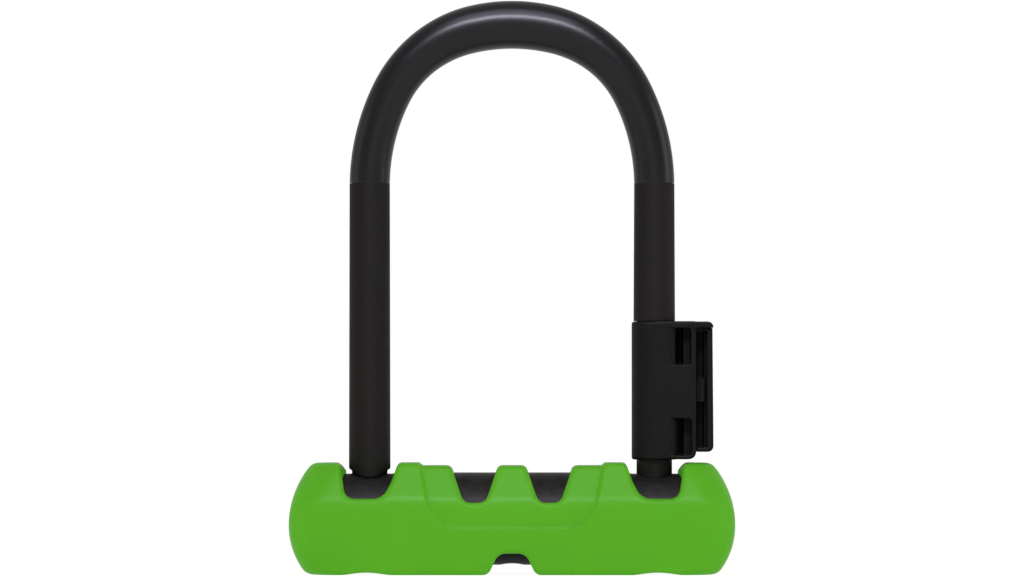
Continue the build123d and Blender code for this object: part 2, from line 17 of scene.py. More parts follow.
import bmesh
import bpy
import numpy as np
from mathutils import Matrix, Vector

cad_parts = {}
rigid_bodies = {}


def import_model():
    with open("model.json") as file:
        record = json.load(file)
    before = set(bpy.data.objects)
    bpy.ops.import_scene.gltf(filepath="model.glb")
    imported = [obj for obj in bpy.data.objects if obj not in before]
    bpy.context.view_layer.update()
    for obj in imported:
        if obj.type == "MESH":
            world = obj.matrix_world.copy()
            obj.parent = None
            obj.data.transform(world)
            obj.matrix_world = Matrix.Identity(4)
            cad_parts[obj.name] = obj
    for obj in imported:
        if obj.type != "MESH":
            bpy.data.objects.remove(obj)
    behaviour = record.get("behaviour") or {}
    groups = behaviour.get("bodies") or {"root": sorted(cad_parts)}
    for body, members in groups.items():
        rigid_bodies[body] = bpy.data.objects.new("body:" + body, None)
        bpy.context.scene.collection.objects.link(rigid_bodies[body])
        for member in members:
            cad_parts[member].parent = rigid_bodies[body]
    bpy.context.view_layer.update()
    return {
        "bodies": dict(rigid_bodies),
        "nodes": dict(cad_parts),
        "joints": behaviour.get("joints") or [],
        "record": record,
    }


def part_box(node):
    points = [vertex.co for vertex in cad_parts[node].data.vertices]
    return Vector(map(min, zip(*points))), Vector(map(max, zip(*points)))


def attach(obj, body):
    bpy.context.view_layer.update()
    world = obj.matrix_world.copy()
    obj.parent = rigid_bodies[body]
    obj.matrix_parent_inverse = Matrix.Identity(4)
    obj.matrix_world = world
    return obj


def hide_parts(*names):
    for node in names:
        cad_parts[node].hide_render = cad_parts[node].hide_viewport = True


log = logging.getLogger("u_lock")
MM = 0.001
EDGE_START = 0.52  # pointiness of an edge where wear begins
EDGE_FULL = 0.62  # pointiness where it is complete
WEAR_PATCH = 2.5  # millimetres across a worn patch
CLOUD_EDGES = (0.35, 0.65)  # noise between which one tone turns into the other
DRIFT_EDGES = (0.3, 0.7)  # noise between which the roughness drifts
DRIFT_DETAIL = 5.0  # octaves in that drift
DRIFT_FINER = 3  # how much smaller its patches are than the colour's
LEAST_ROUGHNESS = 0.05
FINE_DETAIL = 4.0  # octaves in a finish's fine relief
SHEEN_ROUGHNESS = 0.5
LEAST_SLOPE = 0.25  # floor for a squared slope, which keeps steps finite on a ridge
FAR = 1000.0  # a field's value far outside every solid
WELD = 0.002  # millimetres within which the frame's vertices are one
SKIN_ROUNDS = 4  # passes that lay a fresh skin on its solid, and that even it out
LAST_ROUNDS = 2  # passes that bring it back onto the solid afterwards
LAST_REACH = 0.2  # the longest step of the very last passes, in millimetres
EVENING = 0.5  # how far each pass moves a point towards the middle of its neighbours
INNER_BEVEL = 0.15  # millimetres off the inner edge of a sleeve's end
MIX_A, MIX_B, MIX_RESULT = 6, 7, 2  # the colour sockets of a Mix node
X, Y, Z = 0, 1, 2
Array = np.ndarray
Field = Callable[[Array], Array]
Tree = bpy.types.NodeTree
Socket = bpy.types.NodeSocket


# ---------------------------------------------------------------- nodes and finishes
def linear(code: str) -> tuple[float, float, float, float]:
    """Turns an sRGB colour into the linear one that a shader takes.

    Args:
        code: Six hex digits after a hash sign.

    Returns:
        Linear red, green, blue and a full alpha.
    """
    parts = [int(code[i : i + 2], 16) / 255 for i in (1, 3, 5)]
    red, green, blue = (
        c / 12.92 if c <= 0.04045 else ((c + 0.055) / 1.055) ** 2.4 for c in parts
    )
    return red, green, blue, 1.0


def add_node(
    tree: Tree,
    kind: str,
    links: dict[Any, Socket] | None = None,
    values: dict[Any, Any] | None = None,
    **settings: Any,
) -> bpy.types.Node:
    """Adds a node with its settings, input values and links.

    Args:
        tree: The node tree to add to.
        kind: The node's type.
        links: Sockets to join, by the new node's input.
        values: Fixed input values, by input.
        **settings: Properties of the node.

    Returns:
        The new node.
    """
    node = tree.nodes.new(kind)
    for name, value in settings.items():
        setattr(node, name, value)
    for name, value in (values or {}).items():
        node.inputs[name].default_value = value
    for name, source in (links or {}).items():
        tree.links.new(source, node.inputs[name])
    return node


class Texture(Enum):
    """How a surface's fine relief runs: how finely it repeats along X, Y and Z."""

    GRAIN = (1.0, 1.0, 1.0)
    TURNED = (0.05, 0.05, 1.0)
    DRAWN = (0.03, 1.0, 1.0)


@dataclass(frozen=True)
class Finish:
    """A material and the way its surface was made.

    Sizes are in millimetres. The base colour drifts from colour to shade in clouds as
    large as blotch, and turns towards worn on sharp edges. The grain is two or three times
    as coarse as the real one, which would be too fine to show.
    """

    name: str
    colour: str
    shade: str
    worn: str
    roughness: float
    spread: float = 0.08
    metallic: float = 0.0
    ior: float = 1.5
    gloss: float = 0.5
    grain: float = 0.4
    relief: float = 0.01
    blotch: float = 18.0
    wear: float = 0.3
    sheen: float = 0.0
    texture: Texture = Texture.GRAIN

    def material(self) -> bpy.types.Material:
        """Builds the finish's material.

        Returns:
            A node material, named for the finish.
        """
        made = bpy.data.materials.new(self.name)
        made.use_nodes = True
        tree = made.node_tree
        tree.nodes.clear()
        place = add_node(tree, "ShaderNodeTexCoord").outputs["Object"]
        shader = add_node(
            tree,
            "ShaderNodeBsdfPrincipled",
            links={
                "Base Color": self._colour(tree, place),
                "Roughness": self._roughness(tree, place),
                "Normal": self._relief(tree, place),
            },
            values={"Metallic": self.metallic},
        )
        if not self.metallic:
            shader.inputs["IOR"].default_value = self.ior
            shader.inputs["Specular IOR Level"].default_value = self.gloss
        if self.sheen:
            shader.inputs["Sheen Weight"].default_value = self.sheen
            shader.inputs["Sheen Roughness"].default_value = SHEEN_ROUGHNESS
        add_node(tree, "ShaderNodeOutputMaterial", links={"Surface": shader.outputs["BSDF"]})
        return made

    def _noise(self, tree: Tree, place: Socket, size: float, detail: float = 3.0) -> Socket:
        """Cloudy noise.

        Args:
            tree: The material's node tree.
            place: Coordinates to read the noise at.
            size: How far across its features are, in millimetres.
            detail: Number of finer octaves.

        Returns:
            The noise, from 0 to 1.
        """
        node = add_node(
            tree,
            "ShaderNodeTexNoise",
            links={"Vector": place},
            values={"Scale": 1 / (size * MM), "Detail": detail},
        )
        return node.outputs["Fac"]

    def _colour(self, tree: Tree, place: Socket) -> Socket:
        """Base colour: slow clouds between two tones, and paler worn edges.

        Args:
            tree: The material's node tree.
            place: Coordinates on the object.

        Returns:
            The colour.
        """
        cloud = add_node(
            tree,
            "ShaderNodeMapRange",
            links={"Value": self._noise(tree, place, self.blotch)},
            values={"From Min": CLOUD_EDGES[0], "From Max": CLOUD_EDGES[1]},
        )
        tone = add_node(
            tree,
            "ShaderNodeMix",
            links={"Factor": cloud.outputs["Result"]},
            data_type="RGBA",
        )
        tone.inputs[MIX_A].default_value = linear(self.colour)
        tone.inputs[MIX_B].default_value = linear(self.shade)
        edge = add_node(
            tree,
            "ShaderNodeMapRange",
            links={"Value": add_node(tree, "ShaderNodeNewGeometry").outputs["Pointiness"]},
            values={"From Min": EDGE_START, "From Max": EDGE_FULL, "To Max": self.wear},
        )
        patch = add_node(
            tree,
            "ShaderNodeMath",
            links={0: edge.outputs["Result"], 1: self._noise(tree, place, WEAR_PATCH)},
            operation="MULTIPLY",
        )
        worn = add_node(
            tree,
            "ShaderNodeMix",
            links={"Factor": patch.outputs["Value"], MIX_A: tone.outputs[MIX_RESULT]},
            data_type="RGBA",
        )
        worn.inputs[MIX_B].default_value = linear(self.worn)
        return worn.outputs[MIX_RESULT]

    def _roughness(self, tree: Tree, place: Socket) -> Socket:
        """Roughness that drifts over the surface, as handling leaves it.

        Args:
            tree: The material's node tree.
            place: Coordinates on the object.

        Returns:
            The roughness.
        """
        drift = add_node(
            tree,
            "ShaderNodeMapRange",
            links={"Value": self._noise(tree, place, self.blotch / DRIFT_FINER, DRIFT_DETAIL)},
            values={
                "From Min": DRIFT_EDGES[0],
                "From Max": DRIFT_EDGES[1],
                "To Min": max(self.roughness - self.spread, LEAST_ROUGHNESS),
                "To Max": min(self.roughness + self.spread, 1.0),
            },
        )
        return drift.outputs["Result"]

    def _relief(self, tree: Tree, place: Socket) -> Socket:
        """The normal with the finish's fine relief.

        Args:
            tree: The material's node tree.
            place: Coordinates on the object.

        Returns:
            The bumped normal.
        """
        fine = add_node(
            tree,
            "ShaderNodeBump",
            links={"Height": self._fine_height(tree, place)},
            values={"Distance": self.relief * MM, "Strength": 1.0},
        )
        return fine.outputs["Normal"]

    def _fine_height(self, tree: Tree, place: Socket) -> Socket:
        """Height of the fine relief: grain, turning marks or drawn lines.

        Args:
            tree: The material's node tree.
            place: Coordinates on the object.

        Returns:
            The height, from 0 to 1.
        """
        if self.texture is not Texture.GRAIN:
            drawn = add_node(
                tree,
                "ShaderNodeMapping",
                links={"Vector": place},
                values={"Scale": self.texture.value},
            )
            place = drawn.outputs["Vector"]
        return self._noise(tree, place, self.grain, FINE_DETAIL)


# Soft-touch polypropylene, moulded: a saturated leaf green with a fine spark-eroded grain
# that spreads the light into a broad satin glow.
GREEN_POLYPROPYLENE = Finish(
    "green_polypropylene_moulded", "#5BAF27", "#58AC26", "#86C25E",
    roughness=0.32, spread=0.05, gloss=0.034, grain=0.35, relief=0.006, blotch=30.0, wear=0.5,
)
# Soft vinyl padding, heat shrunk over the bend: near-neutral black with a satin roll of
# light along its shoulder.
SATIN_VINYL = Finish(
    "satin_vinyl_padding", "#1A1719", "#171517", "#3A393F",
    roughness=0.3, spread=0.02, gloss=0.22, grain=0.5, relief=0.001, blotch=60.0, wear=0.0,
)
# Vinyl dipped onto the legs: flat, slightly warm black, with almost no shine.
MATTE_VINYL = Finish(
    "matte_vinyl_dip", "#15110D", "#13100C", "#34322E",
    roughness=0.6, spread=0.06, gloss=0.14, grain=0.3, relief=0.008, blotch=16.0, wear=0.2,
)
# Drawn steel tube, electro-coated: slightly warm black with a low gleam along its top.
COATED_TUBE = Finish(
    "electrocoated_steel_tube", "#16120F", "#13100D", "#3E3E40",
    roughness=0.38, spread=0.05, gloss=0.05, grain=0.6, relief=0.004, blotch=12.0, wear=0.5,
    texture=Texture.DRAWN,
)
# Hardened steel bar under black phosphate: slightly warm black with a dull, even skin.
BLACK_BAR = Finish(
    "black_phosphate_bar", "#12100D", "#0F0D0B", "#44423F",
    roughness=0.48, spread=0.08, gloss=0.1, grain=0.25, relief=0.005, blotch=10.0, wear=0.6,
)
# Glass-filled nylon, moulded: black with a dull spark-eroded skin.
BLACK_NYLON = Finish(
    "glass_filled_nylon", "#100D0C", "#0E0C0B", "#343331",
    roughness=0.55, spread=0.06, gloss=0.11, grain=0.3, relief=0.009, blotch=14.0, wear=0.35,
)
# Acetal guides: smooth near-black plastic with a waxy look.
BLACK_ACETAL = Finish(
    "black_acetal", "#0D0D0E", "#0B0B0C", "#2E2E30",
    roughness=0.5, gloss=0.15, grain=0.5, relief=0.003, blotch=8.0, wear=0.3,
)
# Rubber strip: dull dark grey.
NITRILE_RUBBER = Finish(
    "nitrile_rubber", "#191919", "#131313", "#2B2B2B",
    roughness=0.85, grain=0.2, relief=0.01, blotch=6.0, wear=0.2, sheen=0.15,
)
# Turned and ground steel: bright grey with fine turning marks.
TURNED_STEEL = Finish(
    "turned_steel", "#A9ABAE", "#97999C", "#C9CACC",
    roughness=0.32, spread=0.08, metallic=1.0, grain=0.15, relief=0.003, blotch=6.0,
    texture=Texture.TURNED,
)
# Hardened steel, blued by its heat treatment: dark and a little blue.
HARDENED_STEEL = Finish(
    "hardened_steel", "#6E7176", "#5D6066", "#9EA1A6",
    roughness=0.38, spread=0.1, metallic=1.0, grain=0.2, relief=0.004, blotch=5.0,
    texture=Texture.DRAWN,
)
# Zinc-plated screws and pins: cool silver with a soft bloom.
ZINC_PLATE = Finish(
    "zinc_plated_steel", "#B9BCC0", "#A5A8AD", "#D2D4D7",
    roughness=0.35, spread=0.1, metallic=1.0, grain=0.3, relief=0.003, blotch=3.0,
)
# Zinc alloy as it leaves the die: matt pale grey with a slight orange peel.
DIE_CAST_ZINC = Finish(
    "die_cast_zinc", "#9A9C9E", "#888A8D", "#B9BBBD",
    roughness=0.52, spread=0.1, metallic=1.0, grain=0.5, relief=0.01, blotch=7.0,
)
# Free-machining brass: yellow metal with turning marks.
TURNED_BRASS = Finish(
    "turned_brass", "#C9A45C", "#B5914C", "#DCBE80",
    roughness=0.3, spread=0.08, metallic=1.0, grain=0.15, relief=0.003, blotch=4.0,
    texture=Texture.TURNED,
)


class Palette:
    """Builds each finish's material once."""

    def __init__(self) -> None:
        """Starts with no materials."""
        self.made: dict[str, bpy.types.Material] = {}

    def __getitem__(self, finish: Finish) -> bpy.types.Material:
        """The finish's material, built on first use.

        Args:
            finish: The finish.

        Returns:
            Its material.
        """
        if finish.name not in self.made:
            self.made[finish.name] = finish.material()
        return self.made[finish.name]


# ---------------------------------------------------------------- solid fields
# A field is negative inside a solid and grows by one per millimetre outside it.
def smooth_both(a: Array, b: Array, width: float) -> Array:
    """Joins two fields where both are inside, with a soft edge.

    It suits faces that meet at a small angle.

    Args:
        a: The first solid's field.
        b: The second solid's field.
        width: The difference of the fields over which the edge is soft.

    Returns:
        The field of what lies inside both.
    """
    near = np.maximum(width - np.abs(a - b), 0)
    return np.maximum(a, b) + near * near / (4 * width)


def round_both(a: Array, b: Array, radius: float) -> Array:
    """Joins two fields where both are inside, with a rounded edge.

    Args:
        a: The first solid's field.
        b: The second solid's field.
        radius: Radius of the edge.

    Returns:
        The field of what lies inside both.
    """
    corner = np.hypot(np.maximum(radius + a, 0), np.maximum(radius + b, 0))
    return np.minimum(-radius, np.maximum(a, b)) + corner


def round_either(a: Array, b: Array, radius: float) -> Array:
    """Joins two fields where either is inside, with a fillet.

    Args:
        a: The first solid's field.
        b: The second solid's field.
        radius: Radius of the fillet.

    Returns:
        The field of what lies inside either.
    """
    corner = np.hypot(np.maximum(radius - a, 0), np.maximum(radius - b, 0))
    return np.maximum(radius, np.minimum(a, b)) - corner


def box_field(p: Array, low: Sequence[float], high: Sequence[float], radius: float) -> Array:
    """A box with all its edges rounded.

    Args:
        p: The points.
        low: The corner with the lowest coordinates.
        high: The corner with the highest coordinates.
        radius: Radius of the edges.

    Returns:
        The box's field at the points.
    """
    low, high = np.array(low, float), np.array(high, float)
    q = np.abs(p - (low + high) / 2) - (high - low) / 2 + radius
    return np.linalg.norm(np.maximum(q, 0), axis=1) + np.minimum(q.max(axis=1), 0) - radius


def slope_field(
    u: Array, z: Array, start: tuple[float, float], end: tuple[float, float]
) -> Array:
    """Distance to the right of a line, in a plane.

    Args:
        u: Sideways coordinates of the points.
        z: Their heights.
        start: A point on the line.
        end: Another, further along it.

    Returns:
        The distances, negative to the left.
    """
    run, rise = end[0] - start[0], end[1] - start[1]
    return ((u - start[0]) * rise - (z - start[1]) * run) / math.hypot(run, rise)


def wall_field(u: Array, z: Array, points: Sequence[tuple[float, float]]) -> Array:
    """What lies to the left of every side of a line that keeps turning the same way.

    Args:
        u: Sideways coordinates of the points to measure.
        z: Their heights.
        points: The corners of the line, from its foot up.

    Returns:
        The field of the wall that the line bounds.
    """
    sides = [slope_field(u, z, a, b) for a, b in zip(points, points[1:])]
    return np.maximum.reduce(sides)


def ease(share: Array) -> Array:
    """Turns an even share from 0 to 1 into one that starts and ends gently."""
    return share * share * (3 - 2 * share)


def slopes(points: Array, solid: Field, step: float = 0.02) -> Array:
    """The field's slope at each point.

    Args:
        points: The points, in millimetres.
        solid: The field.
        step: How far to each side it is measured.

    Returns:
        One vector for each point.
    """
    found = []
    for axis in range(3):
        shift = np.zeros(3)
        shift[axis] = step
        found.append((solid(points + shift) - solid(points - shift)) / (2 * step))
    return np.stack(found, axis=1)


def settle(points: Array, solid: Field, rounds: int, reach: float = 0.5) -> Array:
    """Moves points onto the solid's surface along the field's slope.

    Args:
        points: Points near the surface, in millimetres.
        solid: The solid's field.
        rounds: Number of steps.
        reach: The longest step, in millimetres.

    Returns:
        The moved points.
    """
    for _ in range(rounds):
        slope = slopes(points, solid)
        step = solid(points) / np.maximum((slope**2).sum(axis=1), LEAST_SLOPE)
        points = points - np.clip(step, -reach, reach)[:, None] * slope
    return points


# ---------------------------------------------------------------- meshes
def evaluated(source: bpy.types.Object) -> bpy.types.Mesh:
    """A new mesh of an object with its modifiers done."""
    graph = bpy.context.evaluated_depsgraph_get()
    return bpy.data.meshes.new_from_object(source.evaluated_get(graph))


def points_of(mesh: bpy.types.Mesh) -> Array:
    """A mesh's vertices.

    Args:
        mesh: The mesh.

    Returns:
        One row for each vertex, in millimetres.
    """
    flat = np.zeros(len(mesh.vertices) * 3)
    mesh.vertices.foreach_get("co", flat)
    return flat.reshape(-1, 3) / MM


def place_points(mesh: bpy.types.Mesh, points: Array) -> None:
    """Gives a mesh's vertices new places, in millimetres."""
    mesh.vertices.foreach_set("co", (points * MM).astype(np.float32).ravel())
    mesh.update()


def edges_of(mesh: bpy.types.Mesh) -> Array:
    """A mesh's edges.

    Args:
        mesh: The mesh.

    Returns:
        A pair of vertex numbers for each edge.
    """
    flat = np.zeros(len(mesh.edges) * 2, dtype=np.int64)
    mesh.edges.foreach_get("vertices", flat)
    return flat.reshape(-1, 2)


def relax(points: Array, edges: Array, solid: Field, rounds: int) -> Array:
    """Evens out a mesh over a solid's surface.

    Args:
        points: The vertices, in millimetres.
        edges: Pairs of vertex numbers.
        solid: The solid's field.
        rounds: Number of passes.

    Returns:
        The moved points.
    """
    ends = np.concatenate([edges, edges[:, ::-1]])
    share = np.maximum(np.bincount(ends[:, 0], minlength=len(points)), 1)
    for _ in range(rounds):
        middle = np.stack(
            [
                np.bincount(ends[:, 0], points[ends[:, 1], axis], minlength=len(points))
                for axis in range(3)
            ],
            axis=1,
        )
        points = points + EVENING * (middle / share[:, None] - points)
        points = settle(points, solid, 1)
    return points


def moulded_mesh(
    source: bpy.types.Object, solid: Field, voxel: float, keep: float
) -> bpy.types.Mesh:
    """Re-covers a frame node with an even skin that lies on a solid's field.

    Args:
        source: The frame node; it is only read.
        solid: The field of the finished shape.
        voxel: Spacing of the skin before thinning, in millimetres.
        keep: The share of faces kept.

    Returns:
        A closed mesh with smooth normals from the field.
    """
    form = bpy.data.objects.new("form", source.data.copy())
    bpy.context.scene.collection.objects.link(form)
    weld = bmesh.new()
    weld.from_mesh(form.data)
    bmesh.ops.remove_doubles(weld, verts=weld.verts, dist=WELD * MM)
    weld.to_mesh(form.data)
    weld.free()
    skin = form.modifiers.new("skin", "REMESH")
    skin.mode = "VOXEL"
    skin.voxel_size = voxel * MM
    mesh = evaluated(form)
    points = settle(points_of(mesh), solid, SKIN_ROUNDS)
    points = relax(points, edges_of(mesh), solid, SKIN_ROUNDS)
    place_points(mesh, settle(points, solid, LAST_ROUNDS))
    form.modifiers.clear()
    form.data = mesh
    thin = form.modifiers.new("thin", "DECIMATE")
    thin.ratio = keep
    mesh = evaluated(form)
    place_points(mesh, settle(points_of(mesh), solid, LAST_ROUNDS, LAST_REACH))
    bpy.data.objects.remove(form)
    normals = slopes(points_of(mesh), solid)
    normals /= np.maximum(np.linalg.norm(normals, axis=1), 1e-9)[:, None]
    mesh.shade_smooth()
    mesh.normals_split_custom_set_from_vertices(normals.tolist())
    return mesh


def ring_mesh(name: str, rings: Sequence[Array]) -> bpy.types.Mesh:
    """A closed skin through rings of equal length, with the last joined to the first.

    Args:
        name: The mesh's name.
        rings: Points of each ring, in millimetres.

    Returns:
        The mesh, shaded smooth.
    """
    around, count = len(rings[0]), len(rings)
    faces = []
    for i in range(count):
        here, after = i * around, (i + 1) % count * around
        for j in range(around):
            beside = (j + 1) % around
            faces.append((here + j, after + j, after + beside, here + beside))
    mesh = bpy.data.meshes.new(name)
    mesh.from_pydata((np.concatenate(rings) * MM).tolist(), [], faces)
    tidy = bmesh.new()
    tidy.from_mesh(mesh)
    bmesh.ops.recalc_face_normals(tidy, faces=tidy.faces)
    tidy.to_mesh(mesh)
    tidy.free()
    mesh.shade_smooth()
    return mesh


def lip(inner: float, outer: float, radius: float, steps: int = 5) -> list[tuple[float, float]]:
    """The rounded end of a sleeve's wall.

    Args:
        inner: Inner radius of the sleeve.
        outer: Outer radius of the sleeve.
        radius: Radius of the outer edge.
        steps: Number of steps round it.

    Returns:
        Pairs of a radius and a distance in from the end, outside first.
    """
    turn = [math.radians(90 * i / steps) for i in range(steps + 1)]
    over = [(outer - radius * (1 - math.cos(t)), radius * (1 - math.sin(t))) for t in turn]
    return over + [(inner + INNER_BEVEL, 0.0), (inner, INNER_BEVEL)]


# ---------------------------------------------------------------- sizes from the frame
def least(node: str, axis: int) -> float:
    """A frame node's lowest place along an axis, in millimetres to a hundredth."""
    return round(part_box(node)[0][axis] / MM, 2)


def most(node: str, axis: int) -> float:
    """A frame node's highest place along an axis, in millimetres to a hundredth."""
    return round(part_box(node)[1][axis] / MM, 2)


def centre(node: str, axis: int) -> float:
    """The middle of a frame node along an axis, in millimetres to a hundredth."""
    return round((least(node, axis) + most(node, axis)) / 2, 2)


def past_leg(node: str) -> float:
    """How far a frame node reaches to the right of the right leg's axis, in millimetres."""
    return round(most(node, X) - centre("right_leg_bushing", X), 2)


def measured(read: Callable[..., float], *where: Any) -> Any:
    """A size that is read from the frame when its class is built."""
    return field(default_factory=lambda: read(*where))


# ---------------------------------------------------------------- sub-assemblies
@dataclass
class Lock:
    """What every sub-assembly shares: the frame, its record and the palette."""

    frame: dict[str, Any]
    palette: Palette
    slots: dict[str, str] = field(default_factory=dict)

    def __post_init__(self) -> None:
        """Reads each node's material slot from the record."""
        for part in self.frame["record"].get("subparts", []):
            self.slots[part["node"]] = part["material_slot"]

    def add(
        self, name: str, mesh: bpy.types.Mesh, finish: Finish, body: str, *nodes: str
    ) -> None:
        """Puts a piece in the scene in place of frame nodes.

        Args:
            name: The piece's name.
            mesh: Its mesh, in the frame.
            finish: Its finish.
            body: The body it moves with.
            *nodes: The frame nodes it stands for.
        """
        mesh.name = name
        piece = bpy.data.objects.new(name, mesh)
        bpy.context.scene.collection.objects.link(piece)
        mesh.materials.clear()
        mesh.materials.append(self.palette[finish])
        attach(piece, body)
        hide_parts(*nodes)
        if nodes[0] in self.slots:
            self.slots[nodes[0]]
        log.info("%s: %d faces on %s", name, len(mesh.polygons), body)

    def dress(self, node: str, finish: Finish) -> None:
        """Gives a frame node its finish.

        Args:
            node: The node's name.
            finish: The finish for all its slots.
        """
        shown = self.frame["nodes"][node]
        if not shown.material_slots:
            shown.data.materials.append(None)
        for held in shown.material_slots:
            held.material = self.palette[finish]
        log.info("%s: %s", node, finish.name)


@dataclass
class Shackle:
    """The bent bar and the sleeves on it.

    Sizes are in millimetres; the turns that end in _turn are in degrees from the crown.
    """

    leg_x: float = measured(centre, "right_leg_bushing", X)
    bar_r: float = measured(past_leg, "shackle")
    foot_r: float = measured(past_leg, "right_leg_sleeve")
    seam_r: float = 6.8
    crown_r: float = measured(most, "crown_sleeve", Y)
    top: float = measured(most, "crown_sleeve", Z)
    crown_arc: float = 58.6
    leg_arc: float = 70.8
    crown_turn: float = 13.9
    shoulder_turn: float = 63.7
    seam_rise: float = 1.0
    saddle_r: float = 9.7
    saddle_rise: float = 1.1
    tube_top: float = measured(most, "crossbar_tube", Z)
    carrier_top: float = measured(least, "right_leg_sleeve", Z)
    sleeve_gap: float = 0.02
    thinning: float = 3.8  # power of the cosine by which the padding thins from the crown
    crown_lip: float = 0.15
    saddle_lip: float = 0.6
    foot_lip: float = 0.25
    seam_lip: float = 0.1
    foot_room: float = 1.5
    seam_room: float = 0.5
    end_step: float = 0.02  # radians from a seam to the first full ring of the padding
    around: int = 72
    crown_rings: int = 150
    leg_rings: int = 12
    crown_z: float = field(init=False)
    saddle_z: float = field(init=False)
    shoulder_arc: float = field(init=False)
    seam_z: float = field(init=False)

    def __post_init__(self) -> None:
        """Works out the arch's top, shoulder arc and seams, and the saddle's height."""
        self.crown_z = round(self.top - self.crown_r, 2)
        self.saddle_z = round(self.tube_top + self.saddle_rise, 2)
        first, second = math.radians(self.crown_turn), math.radians(self.shoulder_turn)
        spare = self.leg_x - self.crown_arc * math.sin(first)
        spare -= self.leg_arc * (1 - math.sin(second))
        self.shoulder_arc = spare / (math.sin(second) - math.sin(first))
        self.seam_z = self.arch(math.pi / 2)[1] + self.seam_rise

    def arch(self, angle: float) -> tuple[float, float]:
        """Centre line of the arch.

        Args:
            angle: Turn from the top, to the left where it is negative.

        Returns:
            X and Z of the point.
        """
        first, second = math.radians(self.crown_turn), math.radians(self.shoulder_turn)
        turn = abs(angle)
        x, drop = 0.0, 0.0
        spans = ((0, first, self.crown_arc), (first, second, self.shoulder_arc))
        for start, end, radius in spans + ((second, math.pi, self.leg_arc),):
            if turn > start:
                stop = min(turn, end)
                x += radius * (math.sin(stop) - math.sin(start))
                drop += radius * (math.cos(start) - math.cos(stop))
        return math.copysign(x, angle), self.crown_z - drop

    def arch_ring(self, angle: float, radius: float) -> Array:
        """One ring across the arch.

        Args:
            angle: Turn of its centre from the top, in radians.
            radius: Its radius.

        Returns:
            The ring's points.
        """
        x, z = self.arch(angle)
        turn = np.linspace(0, 2 * math.pi, self.around, endpoint=False)
        out = radius * np.cos(turn)
        return np.stack(
            [x + out * math.sin(angle), radius * np.sin(turn), z + out * math.cos(angle)], axis=1
        )

    def padding_r(self, angle: float) -> float:
        """Outer radius of the padding, thickest at the crown."""
        return self.seam_r + (self.crown_r - self.seam_r) * abs(math.cos(angle)) ** self.thinning

    def crown_mesh(self) -> bpy.types.Mesh:
        """The padding round the arch, with rolled ends at the seams.

        Returns:
            The padding's mesh, with a coarser skin inside than outside.
        """
        end = math.pi / 2 - math.asin(self.seam_rise / self.leg_arc)
        inner = self.bar_r + self.sleeve_gap
        outline = lip(inner, self.padding_r(end), self.crown_lip)
        right = [self.arch_ring(end - gap / self.leg_arc, r) for r, gap in outline]
        left = [self.arch_ring(-end + gap / self.leg_arc, r) for r, gap in outline]
        last = end - self.end_step
        stations = np.linspace(-last, last, self.crown_rings)
        outside = [self.arch_ring(a, self.padding_r(a)) for a in stations]
        inside = [self.arch_ring(a, inner) for a in stations[::-3]]
        return ring_mesh("crown_padding", outside + right + inside + left[::-1])

    def leg_ring(self, side: int, radius: float, height: float, saddle: bool) -> Array:
        """One ring round a leg.

        Args:
            side: 1 on the right and -1 on the left.
            radius: The ring's radius.
            height: Its height, at its sides if it is a saddle.
            saddle: Whether it dips front and back to follow the tube below.

        Returns:
            The ring's points.
        """
        turn = np.linspace(0, 2 * math.pi, self.around, endpoint=False)
        x, y = radius * np.cos(turn), radius * np.sin(turn)
        z = np.full(self.around, height)
        if saddle:
            z -= self.saddle_r - np.sqrt(self.saddle_r**2 - y**2)
        return np.stack([side * self.leg_x + x, y, z], axis=1)

    def leg_mesh(self, side: int, foot: float, saddle: bool) -> bpy.types.Mesh:
        """The dipped coat on one leg.

        Args:
            side: 1 on the right and -1 on the left.
            foot: Height of its lower end, or of the sides of a saddle.
            saddle: Whether the lower end is cut to straddle the tube.

        Returns:
            The coat's mesh.
        """
        inner, top = self.bar_r + self.sleeve_gap, self.seam_z
        foot_lip = lip(inner, self.foot_r, self.saddle_lip if saddle else self.foot_lip)
        seam_lip = lip(inner, self.seam_r, self.seam_lip)
        low = [self.leg_ring(side, r, foot + gap, saddle) for r, gap in foot_lip]
        high = [self.leg_ring(side, r, top - gap, False) for r, gap in seam_lip]
        rise = np.linspace(foot + self.foot_room, top - self.seam_room, self.leg_rings)
        share = (rise - rise[0]) / (rise[-1] - rise[0])
        wall = [
            self.leg_ring(side, self.foot_r + (self.seam_r - self.foot_r) * t, z, False)
            for t, z in zip(share, rise)
        ]
        inside = [self.leg_ring(side, inner, z, False) for z in rise[::-1]]
        return ring_mesh("leg_coat", low[::-1] + wall + high + inside)

    def build(self, lock: Lock) -> None:
        """Adds the sleeves and dresses the bar.

        Args:
            lock: What the sub-assemblies share.
        """
        lock.add("crown_padding", self.crown_mesh(), SATIN_VINYL, "shackle", "crown_sleeve")
        left = self.leg_mesh(-1, self.saddle_z, True)
        lock.add("left_leg_coat", left, MATTE_VINYL, "shackle", "left_leg_sleeve")
        right = self.leg_mesh(1, self.carrier_top, False)
        lock.add("right_leg_coat", right, MATTE_VINYL, "shackle", "right_leg_sleeve")
        lock.dress("shackle", BLACK_BAR)


